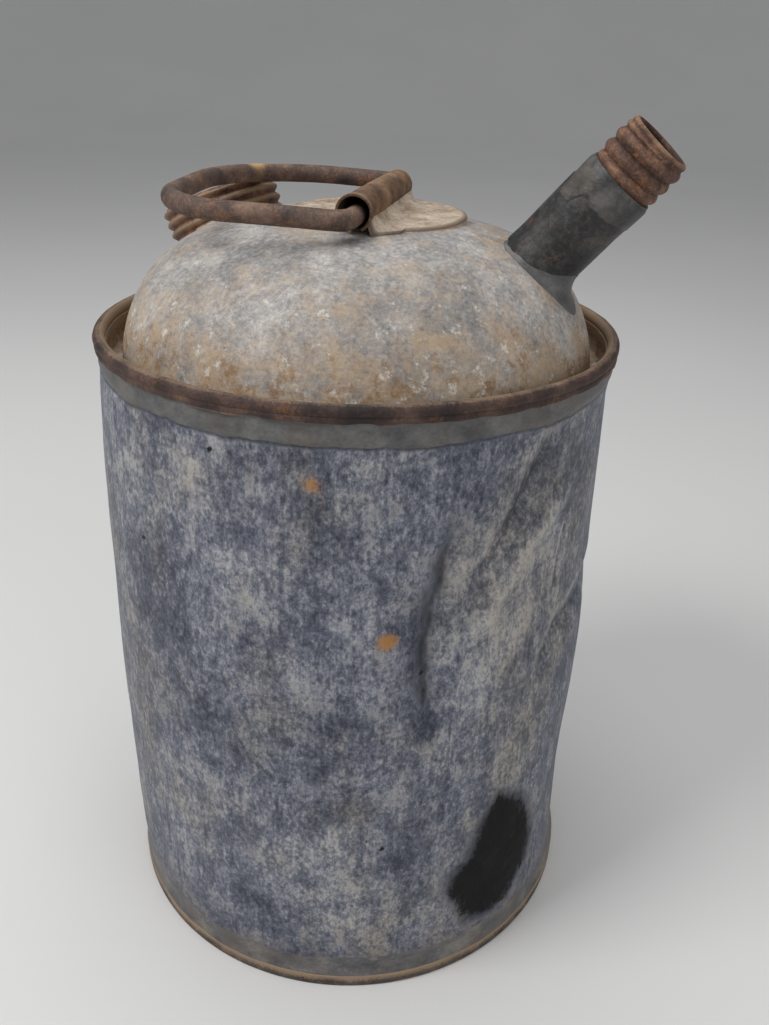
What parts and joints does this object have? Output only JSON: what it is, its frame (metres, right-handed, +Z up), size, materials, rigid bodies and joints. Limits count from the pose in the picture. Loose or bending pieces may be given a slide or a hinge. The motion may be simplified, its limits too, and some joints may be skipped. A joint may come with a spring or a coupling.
{
  "type": "gallon fuel can",
  "caption": "Cylindrical galvanised sheet-metal fuel can with a wired rim, domed top, leaning filler neck, screw-tipped spout and swinging wire bail.",
  "frame": {"origin": "centre of the base, on the surface the can stands on", "axes": "+Z up along the can, +X towards the spout, bail hinge roughly along Y"},
  "size_m": [0.1704, 0.162, 0.2642],
  "materials": {
    "weathered_galvanized": "mottled blue-grey zinc, oxidised and stained",
    "dull_solder": "dull grey wiped solder",
    "oxidized_dome": "chalky zinc with tan rust staining",
    "rusty_rim": "purple-brown rust with worn tan highlights",
    "rusty_wire": "brown rust with dark grey patches",
    "rusty_thread": "rusted sheet steel thread",
    "leaden_tube": "dark lead-grey sheet with rust spots"
  },
  "bodies": {
    "can": {"body_shell": "weathered_galvanized", "side_seam_solder": "dull_solder", "rim_solder_band": "dull_solder", "base_solder_band": "dull_solder", "lug_solder": "dull_solder", "filler_neck_solder": "dull_solder", "spout_base_solder": "dull_solder", "spout_seam_solder": "dull_solder", "spout_collar": "dull_solder", "dome_top": "oxidized_dome", "cap_plate": "oxidized_dome", "rim_hoop": "rusty_rim", "bottom_pan": "rusty_rim", "rim_wire": "rusty_wire", "handle_lug": "rusty_wire", "filler_neck": "rusty_thread", "spout_ferrule": "rusty_thread", "spout_tube": "leaden_tube"},
    "bail": {"bail_handle": "rusty_wire"}
  },
  "joints": [
    {"name": "bail_swing", "type": "hinge", "parent": "can", "child": "bail", "pos_m": [0.0065, -0.00338, 0.23854], "axis": [-0.0923, 0.9954, 0.0262], "range_deg": [0, 163]}
  ]
}
